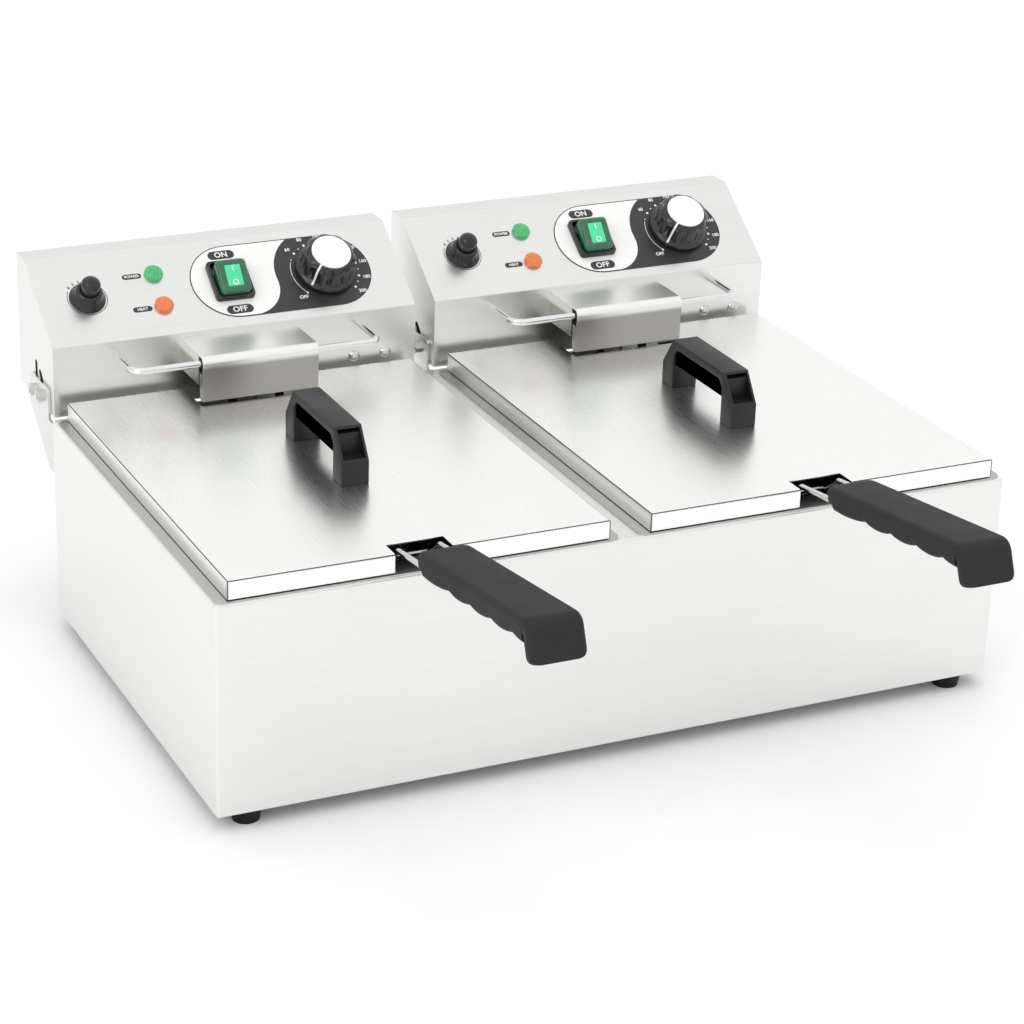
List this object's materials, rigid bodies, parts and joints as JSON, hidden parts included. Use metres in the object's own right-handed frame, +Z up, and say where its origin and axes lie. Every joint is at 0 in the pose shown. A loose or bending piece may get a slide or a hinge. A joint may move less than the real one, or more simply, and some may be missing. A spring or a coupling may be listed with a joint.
{
  "type": "deep fryer",
  "caption": "Countertop double deep fryer: sheet-steel casing, oil tanks with lids and wire baskets, and sloped control heads over the rear.",
  "frame": {"origin": "on the table, under the middle of the casing's plan", "axes": "+X along the front to the right, +Y from the front to the back, +Z up"},
  "size_m": [0.5892, 0.6339, 0.2636],
  "materials": {
    "casing_steel": "satin stainless sheet",
    "tank_steel": "drawn stainless steel",
    "lid_steel": "satin stainless sheet, polished edges",
    "guard_steel": "satin stainless sheet",
    "bracket_steel": "stainless plate",
    "galvanised_steel": "zinc-coated sheet",
    "bright_rod": "polished stainless rod",
    "bright_screws": "bright plated",
    "basket_wire": "nickel-plated wire",
    "element_steel": "heat-tinted tubular element",
    "foot_rubber": "moulded rubber",
    "black_rubber": "moulded rubber boot",
    "black_plastic": "moulded, fine texture",
    "soft_grip": "soft-touch overmoulding",
    "knob_plastic": "moulded black with a white cap",
    "printed_film": "screen-printed polyester film and ink",
    "control_body": "moulded thermoset body",
    "terminal_plastic": "moulded nylon",
    "green_lens": "ribbed translucent lens",
    "orange_lens": "ribbed translucent lens",
    "green_rocker": "translucent rocker under a clear green boot"
  },
  "bodies": {
    "root": {"casing_shell": "casing_steel", "rear_panel": "casing_steel", "base_plate": "galvanised_steel", "feet": "foot_rubber", "hinge_brackets": "bracket_steel", "hinge_bolts": "bright_screws", "tank_left": "tank_steel", "head_cover_left": "casing_steel", "head_base_left": "galvanised_steel", "head_rear_cover_left": "casing_steel", "cable_gland_left": "black_plastic", "terminal_block_left": "terminal_plastic", "element_guard_left": "guard_steel", "hanger_rod_left": "bright_rod", "heating_element_left": "element_steel", "element_plate_left": "guard_steel", "thermostat_left": "control_body", "thermal_cutout_left": "control_body", "reset_skirt_left": "black_rubber", "power_lamp_left": "green_lens", "heat_lamp_left": "orange_lens", "switch_housing_left": "black_plastic", "panel_screws_left": "bright_screws", "control_label_left": "printed_film", "tank_right": "tank_steel", "head_cover_right": "casing_steel", "head_base_right": "galvanised_steel", "head_rear_cover_right": "casing_steel", "cable_gland_right": "black_plastic", "terminal_block_right": "terminal_plastic", "element_guard_right": "guard_steel", "hanger_rod_right": "bright_rod", "heating_element_right": "element_steel", "element_plate_right": "guard_steel", "thermostat_right": "control_body", "thermal_cutout_right": "control_body", "reset_skirt_right": "black_rubber", "power_lamp_right": "green_lens", "heat_lamp_right": "orange_lens", "switch_housing_right": "black_plastic", "panel_screws_right": "bright_screws", "control_label_right": "printed_film"},
    "lid_left": {"lid_left": "lid_steel", "lid_handle_left": "black_plastic", "lid_screws_left": "bright_screws"},
    "basket_left": {"basket_left": "basket_wire", "basket_frame_left": "basket_wire", "basket_grip_left": "soft_grip"},
    "knob_left": {"thermostat_knob_left": "knob_plastic"},
    "rocker_left": {"rocker_left": "green_rocker"},
    "reset_left": {"reset_button_left": "black_rubber"},
    "lid_right": {"lid_right": "lid_steel", "lid_handle_right": "black_plastic", "lid_screws_right": "bright_screws"},
    "basket_right": {"basket_right": "basket_wire", "basket_frame_right": "basket_wire", "basket_grip_right": "soft_grip"},
    "knob_right": {"thermostat_knob_right": "knob_plastic"},
    "rocker_right": {"rocker_right": "green_rocker"},
    "reset_right": {"reset_button_right": "black_rubber"}
  },
  "joints": [
    {"name": "lid_left_lift", "type": "slide", "parent": "root", "child": "lid_left", "axis": [0, -0.829, 0.5592], "range_m": [0, 0.42]},
    {"name": "basket_left_lift", "type": "slide", "parent": "root", "child": "basket_left", "axis": [0, 0, 1], "range_m": [0, 0.084]},
    {"name": "thermostat_left_turn", "type": "hinge", "parent": "root", "child": "knob_left", "pos_m": [-0.068, 0.20399, 0.2358], "axis": [0, 0.5836, -0.812], "range_deg": [0, 266]},
    {"name": "rocker_left_tilt", "type": "hinge", "parent": "root", "child": "rocker_left", "pos_m": [-0.1428, 0.20399, 0.2358], "axis": [-1, 0, 0], "range_deg": [0, 28]},
    {"name": "reset_left_press", "type": "slide", "parent": "root", "child": "reset_left", "axis": [0, 0.5836, -0.812], "range_m": [0, 0.0025], "stiffness_N_per_m": 500},
    {"name": "lid_right_lift", "type": "slide", "parent": "root", "child": "lid_right", "axis": [0, -0.829, 0.5592], "range_m": [0, 0.42]},
    {"name": "basket_right_lift", "type": "slide", "parent": "root", "child": "basket_right", "axis": [0, 0, 1], "range_m": [0, 0.084]},
    {"name": "thermostat_right_turn", "type": "hinge", "parent": "root", "child": "knob_right", "pos_m": [0.228, 0.20399, 0.2358], "axis": [0, 0.5836, -0.812], "range_deg": [0, 266]},
    {"name": "rocker_right_tilt", "type": "hinge", "parent": "root", "child": "rocker_right", "pos_m": [0.1532, 0.20399, 0.2358], "axis": [-1, 0, 0], "range_deg": [0, 28]},
    {"name": "reset_right_press", "type": "slide", "parent": "root", "child": "reset_right", "axis": [0, 0.5836, -0.812], "range_m": [0, 0.0025], "stiffness_N_per_m": 500}
  ],
  "couplings": [
    {"joint": "basket_left_lift", "follows": "lid_left_lift", "ratio": 0.2},
    {"joint": "basket_right_lift", "follows": "lid_right_lift", "ratio": 0.2}
  ]
}
